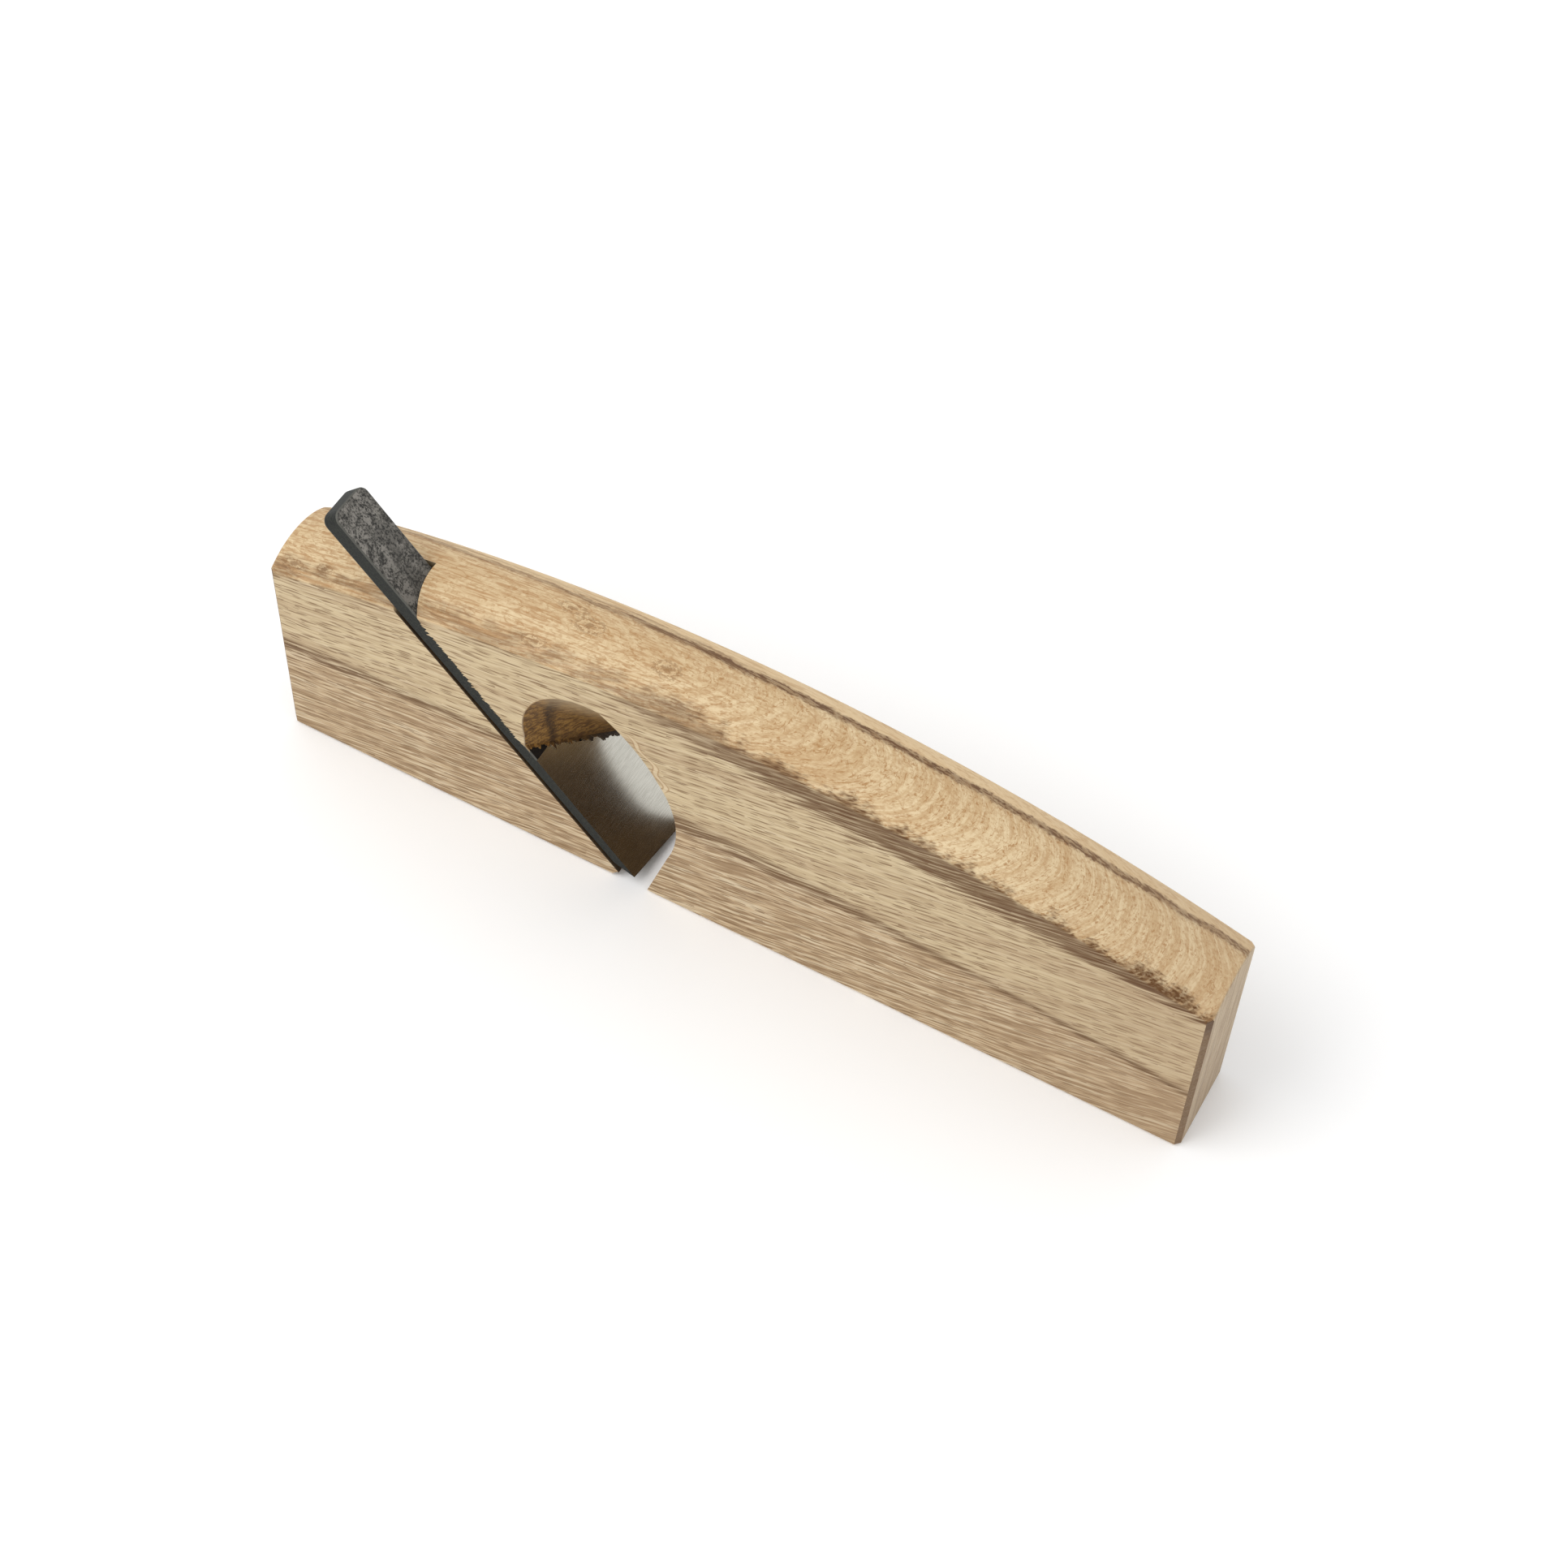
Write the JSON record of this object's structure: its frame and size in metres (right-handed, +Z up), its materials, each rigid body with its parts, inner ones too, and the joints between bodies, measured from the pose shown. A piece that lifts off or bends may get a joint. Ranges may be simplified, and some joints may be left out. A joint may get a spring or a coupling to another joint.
{
  "type": "rebate plane",
  "caption": "Narrow wooden rebate plane with a domed back, a round side escapement and a single tapered blade bedded in an open side slot.",
  "frame": {"origin": "on the sole, under the middle of the block's length and width", "axes": "+X from heel to toe (the way the plane cuts), +Y to the far side (the escapement opens widest to -Y), +Z up"},
  "size_m": [0.182, 0.018, 0.0667],
  "materials": {
    "oak": "planed and oiled white oak, satin",
    "forged_iron": "black forge scale, mottled grey",
    "ground_steel": "fine ground"
  },
  "bodies": {
    "block": {"body_block": "oak"},
    "blade": {"blade_iron": "forged_iron", "blade_steel": "ground_steel"}
  },
  "joints": [
    {"name": "blade_depth", "type": "slide", "parent": "block", "child": "blade", "axis": [0.682, 0, -0.7314], "range_m": [-0.004, 0.0016]}
  ]
}
